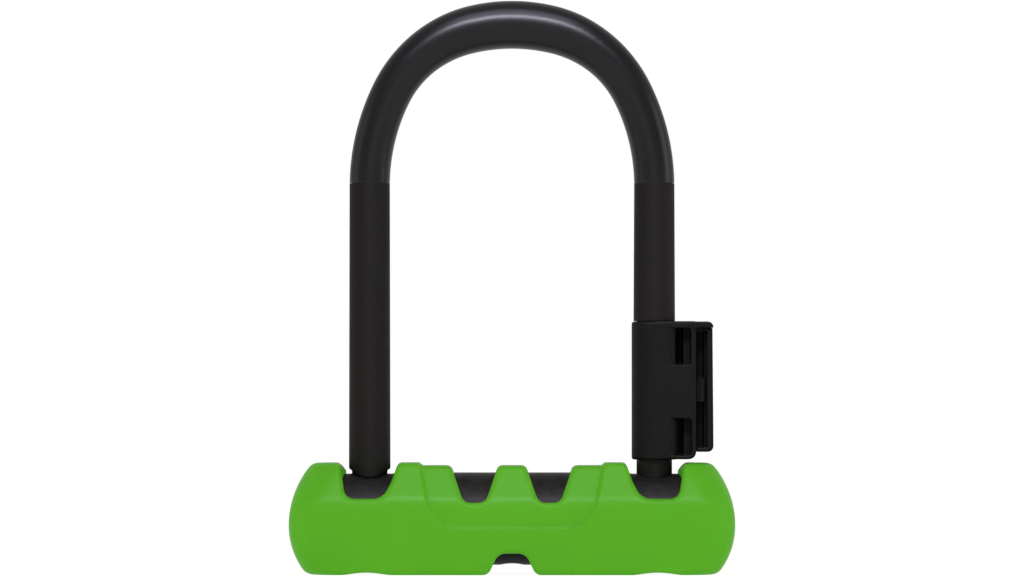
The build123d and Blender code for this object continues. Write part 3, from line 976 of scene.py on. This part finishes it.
@dataclass
class CrossbarCover:
    """The moulded cover over the crossbar.

    Sizes are in millimetres. It is the same on all four sides of its middle, so its
    methods take the distances from the middle, and outlines are pairs of X and Z.
    """

    half_length: float = measured(most, "crossbar_cover", X)
    half_depth: float = measured(most, "crossbar_cover", Y)
    height: float = measured(most, "crossbar_cover", Z)
    crease_z: float = 24.2
    crease_soft: float = 1.6
    top_y: float = 10.8
    side_bow: float = 0.0009
    side_curl: float = 0.00011
    bow_z: float = 16.5
    bow_low_r: float = 25.5
    bow_high_r: float = 32.0
    plan_r: float = 11.0
    top_r: float = 1.3
    foot_r: float = 1.7
    recess_depth: float = 0.95
    recess_step: float = 1.4
    recess_low: float = 16.2
    recess_r: float = 3.0
    recess_foot_x: float = 23.0
    recess_bend_x: float = 28.4
    recess_top: tuple[tuple[float, float], ...] = ((30.7, 36.0), (31.1, 46.0))
    notch_r: float = 2.8
    lip_r: float = 1.6
    leg_x: float = measured(centre, "right_leg_bushing", X)
    leg_notch_floor: float = 25.7
    leg_notch_foot: float = 4.5
    leg_notch_wall: tuple[tuple[float, float], ...] = ((7.5, 31.5), (9.4, 37.0), (10.1, 46.0))
    leg_hole_r: float = 7.75
    leg_hole_z: float = 34.6
    leg_hole_lean: float = 0.72
    flare_y: tuple[float, float] = (3.0, 9.0)
    flare_half: float = 8.0
    flare_lean: float = 0.16
    flare_scale: float = 0.93  # brings the flared wall's field near one per millimetre
    window_x: float = 12.6
    window_floor: float = 24.4
    window_foot: float = 3.6
    window_top: float = 8.3
    window_r: float = 2.0
    key_foot: tuple[float, float] = (7.9, 0.2)
    key_half: float = 4.6
    key_top: float = 7.3
    key_r: float = 2.2
    hollow_x: float = 49.0
    hollow_r: float = 29.2
    hollow_depth: float = 0.85
    hollow_soft: float = 0.5
    tube_z: float = measured(centre, "crossbar_tube", Z)
    tube_top: float = measured(most, "crossbar_tube", Z)
    tube_half: float = measured(most, "crossbar_tube", X)
    tube_fit: float = 0.05
    bore_edge: float = 0.4
    voxel: float = 0.75
    keep: float = 0.42
    bore_r: float = field(init=False)
    bore_half: float = field(init=False)

    def __post_init__(self) -> None:
        """Works out the bore that holds the tube."""
        self.bore_r = round(self.tube_top - self.tube_z + self.tube_fit, 2)
        self.bore_half = round(self.tube_half + self.tube_fit, 2)

    def body(self, x: Array, y: Array, z: Array) -> Array:
        """The outer skin, before its notches are cut.

        Args:
            x: Distances from the middle, along the cover.
            y: Distances from the middle, front to back.
            z: Heights.

        Returns:
            The skin's field.
        """
        fall = np.maximum(self.crease_z - z, 0)
        side = y - self.half_depth + self.side_bow * fall**2 + self.side_curl * fall**3
        crease = (self.half_depth, self.crease_z)
        upper = slope_field(y, z, crease, (self.top_y, self.height))
        radius = np.where(z < self.bow_z, self.bow_low_r, self.bow_high_r)
        # the floor of 1 keeps the root real far above and below the cover
        lean = np.sqrt(np.maximum(radius**2 - (z - self.bow_z) ** 2, 1.0))
        end = (x - self.half_length + radius - lean) * lean / radius
        skin = round_both(smooth_both(side, upper, self.crease_soft), end, self.plan_r)
        return round_both(skin, -z, self.foot_r)

    def recess_share(self, x: Array, z: Array) -> Array:
        """How deep a place lies in the shallow recess.

        Args:
            x: Distances from the middle, along the cover.
            z: Heights.

        Returns:
            Shares of the recess's depth, from 0 to 1.
        """
        foot, bend = (self.recess_foot_x, self.recess_low), (self.recess_bend_x, self.crease_z)
        edge = wall_field(x, z, (foot, bend, *self.recess_top))
        edge = round_both(edge, self.recess_low - z, self.recess_r)
        return ease(np.clip(0.5 - edge / self.recess_step, 0, 1))

    def leg_notch(self, x: Array, y: Array, z: Array) -> Array:
        """The notch over each leg; its outer wall is close to the leg behind its flared lip.

        Args:
            x: Distances from the middle, along the cover.
            y: Distances from the middle, front to back.
            z: Heights.

        Returns:
            The notch's field.
        """
        u = x - self.leg_x
        floor = self.leg_notch_floor
        inner = wall_field(-u, z, ((self.leg_notch_foot, floor), *self.leg_notch_wall))
        start, end = self.flare_y
        near = ease(np.clip((y - start) / (end - start), 0, 1))
        front = self.flare_half + self.flare_lean * (z - floor)
        back = self.leg_hole_r + self.leg_hole_lean * np.maximum(z - self.leg_hole_z, 0)
        outer = (u - back - (front - back) * near) * self.flare_scale
        notch = round_both(inner, floor - z, self.notch_r)
        return round_both(notch, outer, self.notch_r)

    def window(self, x: Array, z: Array) -> Array:
        """The two windows between the legs.

        Args:
            x: Distances from the middle, along the cover.
            z: Heights.

        Returns:
            The windows' field.
        """
        u = np.abs(x - self.window_x)
        foot, top = (self.window_foot, self.window_floor), (self.window_top, self.height)
        wall = slope_field(u, z, foot, top)
        return round_both(wall, self.window_floor - z, self.window_r)

    def key_notch(self, x: Array, z: Array) -> Array:
        """The arch for the key, underneath."""
        wall = slope_field(x, z, self.key_foot, (self.key_half, self.key_top))
        return round_both(wall, z - self.key_top, self.key_r)

    def solid(self, p: Array) -> Array:
        """The whole cover.

        Args:
            p: The points, in millimetres.

        Returns:
            The cover's field.
        """
        x, y, z = np.abs(p[:, 0]), np.abs(p[:, 1]), p[:, 2]
        sunk = self.recess_depth * self.recess_share(x, z)
        made = self.body(x, y, z) + sunk
        for cut in (self.leg_notch(x, y, z), self.window(x, z), self.key_notch(x, z)):
            made = round_both(made, -cut, self.lip_r)
        made = round_both(made, z - self.height + sunk, self.top_r)
        hollow = np.hypot(x - self.hollow_x, z + self.hollow_r - self.hollow_depth)
        made = smooth_both(made, self.hollow_r - hollow, self.hollow_soft)
        bore = np.maximum(np.hypot(y, z - self.tube_z) - self.bore_r, x - self.bore_half)
        return round_both(made, -bore, self.bore_edge)

    def build(self, lock: Lock) -> None:
        """Adds the cover."""
        mesh = moulded_mesh(
            lock.frame["nodes"]["crossbar_cover"], self.solid, self.voxel, self.keep
        )
        lock.add("moulded_cover", mesh, GREEN_POLYPROPYLENE, "crossbar", "crossbar_cover")


@dataclass
class Carrier:
    """The bracket clamped to the right leg.

    Sizes are in millimetres. X is measured from the leg, and Y is negative in front.
    """

    leg_x: float = measured(centre, "right_leg_bushing", X)
    low: float = measured(least, "carrier_shell", Z)
    high: float = measured(most, "carrier_shell", Z)
    sleeve_r: float = measured(most, "carrier_shell", Y)
    sleeve_end_r: float = 0.9
    wing_x: float = 14.1
    wing_corner: float = 3.0
    wing_edge: float = 0.9
    wing_end_r: float = 0.7
    plate_edge: float = 1.6
    plate_corner: float = 2.0
    fillet: float = 0.4
    cut_edge: float = 0.3
    windows: tuple[tuple[float, float, float], ...] = ((12.3, 70.6, 83.1), (12.5, 40.1, 52.6))
    window_corner: float = 1.3
    window_floor: float = -2.55
    pocket_left: float = -0.6
    pocket_front: float = -30.0
    pocket_floor: float = 3.0
    pocket_side: float = 2.7
    pocket_r: float = 0.5
    core_x: float = 8.3
    core_spare: float = 0.3
    core_r: float = 4.5
    bar_r: float = measured(past_leg, "shackle")
    liner_r: float = measured(past_leg, "carrier_liner")
    fit: float = 0.05
    screw_x: float = 9.6
    screw_z: tuple[float, float] = (57.45, 66.95)
    pilot_r: float = 1.27
    pilot_end: float = -2.5
    screw_way_r: float = 1.4
    head_r: float = 2.5
    head_depth: float = 1.55
    rail_x: float = 14.2
    edge_x: float = measured(past_leg, "carrier_rail")
    edge_r: float = 0.55
    rail_low: float = measured(least, "carrier_rail", Z)
    rail_top: float = measured(most, "carrier_rail", Z)
    rail_front: float = measured(least, "carrier_rail", Y)
    rail_lean: float = 0.35
    rail_corner: float = 2.0
    rail_edge: float = 0.25
    tongue_y: float = 4.2
    tongue_step: float = 0.1
    tongue_root: float = 1.0
    slot_skin: float = 0.15
    slot_band: float = 3.2
    slot_r: float = 0.5
    slot_floor: float = 1.5
    slot_foot: float = 1.5
    low_slot_top: float = 16.6
    high_slot: tuple[float, float] = (16.8, 1.6)
    shallow_top: float = 0.3
    groove_half: float = 0.5
    groove_floor: float = -2.0
    groove_rise: float = 0.5
    groove_short: float = 2.5
    dovetail_y: float = 0.8
    dovetail_half: float = 4.2
    dovetail_depth: float = 1.2
    dovetail_flare: float = 0.55
    dovetail_top: float = 2.0
    shell_voxel: float = 0.42
    shell_keep: float = 0.35
    rail_voxel: float = 0.36
    rail_keep: float = 0.4
    plate_low: float = field(init=False)
    tongue_x: float = field(init=False)
    liner_bore: float = field(init=False)
    bar_bore: float = field(init=False)

    def __post_init__(self) -> None:
        """Works out what fits round the rail, the liner and the bar."""
        self.plate_low = round(self.rail_top + self.fit, 2)
        self.tongue_x = round(least("carrier_rail", X) - self.leg_x, 2)
        self.liner_bore = round(self.liner_r + self.fit, 2)
        self.bar_bore = round(self.bar_r + self.fit, 2)

    def local(self, p: Array) -> tuple[Array, Array, Array, Array]:
        """Points with X measured from the leg, and each of their coordinates."""
        q = p - np.array([self.leg_x, 0.0, 0.0])
        return q, q[:, 0], q[:, 1], q[:, 2]

    def outside(self, x: Array, y: Array, z: Array) -> Array:
        """Sleeve, wing and top plate, still solid.

        Args:
            x: Distances from the leg's axis, to the right.
            y: Distances from it, to the back.
            z: Heights.

        Returns:
            The field of the three together.
        """
        middle, half = (self.low + self.high) / 2, (self.high - self.low) / 2
        wall = np.hypot(x, y) - self.sleeve_r
        sleeve = round_both(wall, np.abs(z - middle) - half, self.sleeve_end_r)
        wing = round_both(x - self.wing_x, self.low - z, self.wing_corner)
        wing = round_both(wing, np.abs(y) - self.sleeve_r, self.wing_edge)
        wing = round_both(np.maximum(wing, -x), np.abs(z - middle) - half, self.wing_end_r)
        plate = round_both(x - self.edge_x, np.abs(y) - self.sleeve_r, self.plate_edge)
        slab = np.abs(z - (self.plate_low + self.high) / 2) - (self.high - self.plate_low) / 2
        plate = round_both(np.maximum(plate, -x), slab, self.fillet)
        plate = np.maximum(plate, round_both(x - self.edge_x, z - self.high, self.plate_corner))
        return round_either(round_either(sleeve, wing, self.fillet), plate, self.fillet)

    def cuts(self, q: Array, x: Array, y: Array, z: Array) -> Array:
        """The windows of the wing, each with a pocket, clear of the core round the leg.

        Args:
            q: The points, measured from the leg's axis.
            x: Their distances to the right.
            y: Their distances to the back.
            z: Their heights.

        Returns:
            The field of what is cut away.
        """
        cut = np.full(len(q), FAR)
        for right, low, high in self.windows:
            start = (self.pocket_left, self.pocket_front, low)
            end = (right - self.pocket_side, self.pocket_floor, high)
            deep = box_field(q, start, end, self.pocket_r)
            tall = np.abs(z - (low + high) / 2) - (high - low) / 2
            flat = round_both(x - right, tall, self.window_corner)
            flat = np.maximum(np.maximum(flat, -x), y - self.window_floor)
            cut = np.minimum(cut, np.minimum(deep, flat))
        wall = np.hypot(x, y) - self.sleeve_r
        side = np.abs(y) - self.sleeve_r - self.core_spare
        core = round_both(x - self.core_x, side, self.core_r)
        return np.maximum(cut, -np.minimum(core, wall))

    def shell(self, p: Array) -> Array:
        """The carrier's shell.

        Args:
            p: The points, in millimetres.

        Returns:
            The shell's field.
        """
        q, x, y, z = self.local(p)
        made = round_both(self.outside(x, y, z), -self.cuts(q, x, y, z), self.cut_edge)
        out = np.hypot(x, y)
        bore = np.maximum(out - self.liner_bore, z - self.plate_low)
        made = round_both(made, -np.minimum(bore, out - self.bar_bore), self.cut_edge)
        seat = np.maximum(self.tongue_x - self.fit - x, self.tongue_y - self.fit - y)
        seat = np.maximum(seat, np.maximum(self.rail_low - z, z - self.plate_low))
        made = round_both(made, -seat, self.cut_edge)
        for height in self.screw_z:
            hole = np.hypot(x - self.screw_x, z - height) - self.pilot_r
            made = np.maximum(made, -np.maximum(hole, self.pilot_end - y))
        return made

    def rail(self, p: Array) -> Array:
        """The slotted rail and its tongue behind the wing.

        Args:
            p: The points, in millimetres.

        Returns:
            The rail's field.
        """
        _, x, y, z = self.local(p)
        top, low = self.plate_low - self.fit, self.rail_low
        lean = self.rail_lean * np.clip((z - low) / (top - low), 0, 1)
        outer = round_both(x - self.edge_x + lean, low - z, self.rail_corner)
        blade = round_both(outer, np.maximum(self.rail_front - y, y - self.sleeve_r), self.edge_r)
        blade = round_both(blade, np.maximum(self.rail_x - x, z - top), self.rail_edge)
        tongue = np.maximum(self.tongue_x - x, x - self.rail_x - self.tongue_root)
        tongue = np.maximum(tongue, self.tongue_y - y)
        tongue = np.maximum(tongue, np.maximum(low + self.tongue_step - z, z - top))
        tongue = round_both(tongue, y - self.sleeve_r, self.cut_edge)
        made = self.slotted(np.minimum(blade, tongue), x, y, z)
        flare = (x - self.edge_x + self.dovetail_depth) * self.dovetail_flare
        dovetail = np.abs(y - self.dovetail_y) - self.dovetail_half + flare
        dovetail = np.maximum(dovetail, self.edge_x - self.dovetail_depth - x)
        dovetail = np.maximum(dovetail, z - top + self.dovetail_top)
        made = round_both(made, -dovetail, self.cut_edge)
        for height in self.screw_z:
            reach = np.hypot(x - self.screw_x, z - height)
            head = np.maximum(reach - self.head_r, self.sleeve_r - self.head_depth - y)
            made = np.maximum(made, -np.minimum(reach - self.screw_way_r, head))
        return made

    def slotted(self, made: Array, x: Array, y: Array, z: Array) -> Array:
        """Cuts the slots and the groove into the rail's front.

        Args:
            made: The rail's field so far.
            x: Distances from the leg's axis, to the right.
            y: Distances from it, to the back.
            z: Heights.

        Returns:
            The rail's field with them.
        """
        top, low = self.plate_low - self.fit, self.rail_low
        left, right = self.rail_x + self.slot_skin, self.edge_x - self.slot_band
        across = np.abs(x - (left + right) / 2) - (right - left) / 2
        foot = low + self.slot_foot
        for start, end, floor in (
            (foot, low + self.low_slot_top, self.slot_floor),
            (top - self.high_slot[0], top - self.high_slot[1], self.slot_floor),
            (foot, top - self.shallow_top, self.rail_front + self.slot_floor),
        ):
            along = np.abs(z - (start + end) / 2) - (end - start) / 2
            slot = np.maximum(round_both(across, along, self.slot_r), y - floor)
            made = round_both(made, -slot, self.rail_edge)
        middle, tall = (low + top + self.groove_rise) / 2, (top - low - self.groove_short) / 2
        groove = np.abs(x - right - self.groove_half) - self.groove_half
        groove = np.maximum(np.maximum(groove, np.abs(z - middle) - tall), y - self.groove_floor)
        return round_both(made, -groove, self.rail_edge)

    def build(self, lock: Lock) -> None:
        """Adds shell and rail, and dresses the liner and the screws.

        Args:
            lock: What the sub-assemblies share.
        """
        nodes = lock.frame["nodes"]
        shell = moulded_mesh(
            nodes["carrier_shell"], self.shell, self.shell_voxel, self.shell_keep
        )
        lock.add("carrier_body", shell, BLACK_NYLON, "shackle", "carrier_shell")
        rail = moulded_mesh(nodes["carrier_rail"], self.rail, self.rail_voxel, self.rail_keep)
        lock.add("carrier_slide_rail", rail, BLACK_NYLON, "shackle", "carrier_rail")
        lock.dress("carrier_liner", NITRILE_RUBBER)
        lock.dress("carrier_screws", ZINC_PLATE)


@dataclass
class LockWorks:
    """The steel crossbar and the lock inside it, on the frame's own meshes."""

    finishes: dict[str, Finish] = field(
        default_factory=lambda: {
            "crossbar_tube": COATED_TUBE,
            "left_end_plug": TURNED_STEEL,
            "right_end_plug": TURNED_STEEL,
            "left_leg_bushing": BLACK_ACETAL,
            "right_leg_bushing": BLACK_ACETAL,
            "housing_base": DIE_CAST_ZINC,
            "housing_lid": DIE_CAST_ZINC,
            "housing_screws": ZINC_PLATE,
            "housing_pins": ZINC_PLATE,
            "cylinder_shell": TURNED_BRASS,
            "cylinder_plug": TURNED_STEEL,
            "plug_driver": DIE_CAST_ZINC,
            "drill_disc": HARDENED_STEEL,
            "detainer_discs": TURNED_BRASS,
            "sidebar": TURNED_STEEL,
            "plug_clip": HARDENED_STEEL,
            "drive_cam": HARDENED_STEEL,
            "cam_pins": TURNED_STEEL,
            "left_bolt": HARDENED_STEEL,
            "right_bolt": HARDENED_STEEL,
        }
    )

    def build(self, lock: Lock) -> None:
        """Dresses every node."""
        for node, finish in self.finishes.items():
            lock.dress(node, finish)


# ---------------------------------------------------------------- studio
@dataclass
class Softbox:
    """A soft rectangular lamp that faces the object. Sizes are in metres."""

    name: str
    place: tuple[float, float, float]
    size: tuple[float, float]
    power: float
    colour: str = "#FFFFFF"
    diffuse: bool = True
    glossy: bool = True

    def build(self, aim: Vector) -> None:
        """Adds the lamp.

        Args:
            aim: The point that it faces.
        """
        lamp = bpy.data.lights.new(self.name, "AREA")
        lamp.shape = "RECTANGLE"
        lamp.size, lamp.size_y = self.size
        lamp.energy = self.power
        lamp.color = linear(self.colour)[:3]
        held = bpy.data.objects.new(self.name, lamp)
        held.location = self.place
        held.rotation_euler = (aim - Vector(self.place)).to_track_quat("-Z", "Y").to_euler()
        held.visible_diffuse = self.diffuse
        held.visible_glossy = self.glossy
        held.visible_camera = False
        bpy.context.scene.collection.objects.link(held)


@dataclass
class Studio:
    """Floor, surroundings, lamps and camera.

    Sizes are in metres, apart from the camera's lens and sensor in millimetres. The shares
    say how much of the floor's light is its own, and the rest is light that falls on it.
    """

    aim: tuple[float, float, float] = (0.0, 0.0, 0.0965)
    distance: float = 3.5
    lens: float = 364.7
    sensor: float = 36.0
    clip: tuple[float, float] = (0.05, 50.0)
    floor_half: float = 8.0
    paper: str = "#F4F4F4"
    paper_glow: float = 1.1
    seen_share: float = 0.85
    mirrored_share: float = 0.5
    room_turn: tuple[float, float] = (-0.3, 0.7)
    room_front: float = 0.22
    room_back: float = 0.70
    dome: float = 0.60
    lamps: tuple[Softbox, ...] = (
        Softbox("left_softbox", (-1.50, -0.60, 0.30), (1.0, 1.2), 6.4, glossy=False),
        Softbox("right_softbox", (1.50, -0.60, 0.30), (1.0, 1.2), 7.6, glossy=False),
        Softbox("fill_strip", (0.0, -0.80, 0.84), (0.8, 0.10), 2.6, "#FFF3DC", glossy=False),
        Softbox("glint_strip", (0.0, -0.86, 0.93), (0.9, 0.17), 26.0, "#EEEEFF", diffuse=False),
        Softbox("sky_strip", (0.0, -0.17, 0.54), (0.4, 0.15), 1.0, "#E8E8FF", diffuse=False),
        Softbox("left_glow", (-1.60, -0.15, 0.25), (0.8, 1.0), 2.5, "#F4F4FF", diffuse=False),
        Softbox("right_glow", (1.60, -0.15, 0.25), (0.8, 1.0), 6.0, "#F4F4FF", diffuse=False),
        Softbox("front_glow", (0.0, -1.50, 0.52), (0.8, 1.0), 1.7, "#E4E4FF", diffuse=False),
    )

    def seen(self, tree: Tree, *kinds: str) -> Socket:
        """Tells some kinds of ray from the others.

        Args:
            tree: The node tree.
            *kinds: Names of the kinds, as the Light Path node has them.

        Returns:
            1 for rays of any of these kinds and 0 for the others.
        """
        path = add_node(tree, "ShaderNodeLightPath")
        found = path.outputs[kinds[0]]
        for kind in kinds[1:]:
            either = add_node(
                tree, "ShaderNodeMath", links={0: found, 1: path.outputs[kind]}, operation="MAXIMUM"
            )
            found = either.outputs["Value"]
        return found

    def room(self) -> None:
        """White where it is seen, even for soft light, and in reflections dim in front."""
        world = bpy.data.worlds.new("studio_room")
        world.use_nodes = True
        bpy.context.scene.world = world
        tree = world.node_tree
        tree.nodes.clear()
        toward = add_node(tree, "ShaderNodeTexCoord").outputs["Generated"]
        split = add_node(tree, "ShaderNodeSeparateXYZ", links={0: toward})
        level = add_node(
            tree,
            "ShaderNodeMapRange",
            links={"Value": split.outputs["Y"]},
            values={
                "From Min": self.room_turn[0],
                "From Max": self.room_turn[1],
                "To Min": self.room_front,
                "To Max": self.room_back,
            },
        )
        dome = add_node(
            tree,
            "ShaderNodeMix",
            links={"Factor": self.seen(tree, "Is Diffuse Ray"), "A": level.outputs["Result"]},
            values={"B": self.dome},
            data_type="FLOAT",
        )
        strength = add_node(
            tree,
            "ShaderNodeMix",
            links={
                "Factor": self.seen(tree, "Is Camera Ray", "Is Transmission Ray"),
                "A": dome.outputs["Result"],
            },
            values={"B": 1.0},
            data_type="FLOAT",
        )
        shown = add_node(
            tree,
            "ShaderNodeBackground",
            links={"Strength": strength.outputs["Result"]},
            values={"Color": linear("#FFFFFF")},
        )
        add_node(tree, "ShaderNodeOutputWorld", links={"Surface": shown.outputs["Background"]})

    def floor(self) -> None:
        """A plain pale floor that keeps a soft part of the shadow."""
        reach = self.floor_half
        mesh = bpy.data.meshes.new("studio_floor")
        corners = [(-reach, -reach, 0), (reach, -reach, 0), (reach, reach, 0), (-reach, reach, 0)]
        mesh.from_pydata(corners, [], [(0, 1, 2, 3)])
        plane = bpy.data.objects.new("studio_floor", mesh)
        bpy.context.scene.collection.objects.link(plane)
        made = bpy.data.materials.new("white_paper_sweep")
        made.use_nodes = True
        tree = made.node_tree
        tree.nodes.clear()
        paper = add_node(tree, "ShaderNodeBsdfDiffuse", values={"Color": linear(self.paper)})
        glow = add_node(
            tree,
            "ShaderNodeEmission",
            values={"Color": linear("#FFFFFF"), "Strength": self.paper_glow},
        )
        mirrored = add_node(
            tree,
            "ShaderNodeMath",
            links={0: self.seen(tree, "Is Glossy Ray", "Is Diffuse Ray")},
            values={1: self.mirrored_share},
            operation="MULTIPLY",
        )
        direct = self.seen(tree, "Is Camera Ray", "Is Transmission Ray")
        share = add_node(
            tree,
            "ShaderNodeMath",
            links={0: direct, 2: mirrored.outputs["Value"]},
            values={1: self.seen_share},
            operation="MULTIPLY_ADD",
        )
        mixed = add_node(
            tree,
            "ShaderNodeMixShader",
            links={
                0: share.outputs["Value"],
                1: paper.outputs["BSDF"],
                2: glow.outputs["Emission"],
            },
        )
        add_node(tree, "ShaderNodeOutputMaterial", links={"Surface": mixed.outputs["Shader"]})
        mesh.materials.append(made)

    def camera(self) -> None:
        """A level camera in front of the object."""
        data = bpy.data.cameras.new("camera")
        data.lens = self.lens
        data.sensor_width = self.sensor
        data.dof.use_dof = False
        data.clip_start, data.clip_end = self.clip
        held = bpy.data.objects.new("camera", data)
        held.location = (self.aim[0], self.aim[1] - self.distance, self.aim[2])
        held.rotation_euler = (math.radians(90), 0, 0)
        bpy.context.scene.collection.objects.link(held)
        bpy.context.scene.camera = held

    def build(self) -> None:
        """Adds everything round the object."""
        bpy.context.scene.view_settings.view_transform = "Standard"
        self.room()
        self.floor()
        for lamp in self.lamps:
            lamp.build(Vector(self.aim))
        self.camera()


def main() -> None:
    """Builds the lock's looks and the studio."""
    logging.basicConfig(level=logging.INFO, format="%(name)s %(message)s")
    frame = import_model()
    lock = Lock(frame, Palette())
    for part in (LockWorks(), Shackle(), CrossbarCover(), Carrier()):
        part.build(lock)
    Studio().build()


if __name__ == "__main__":
    main()
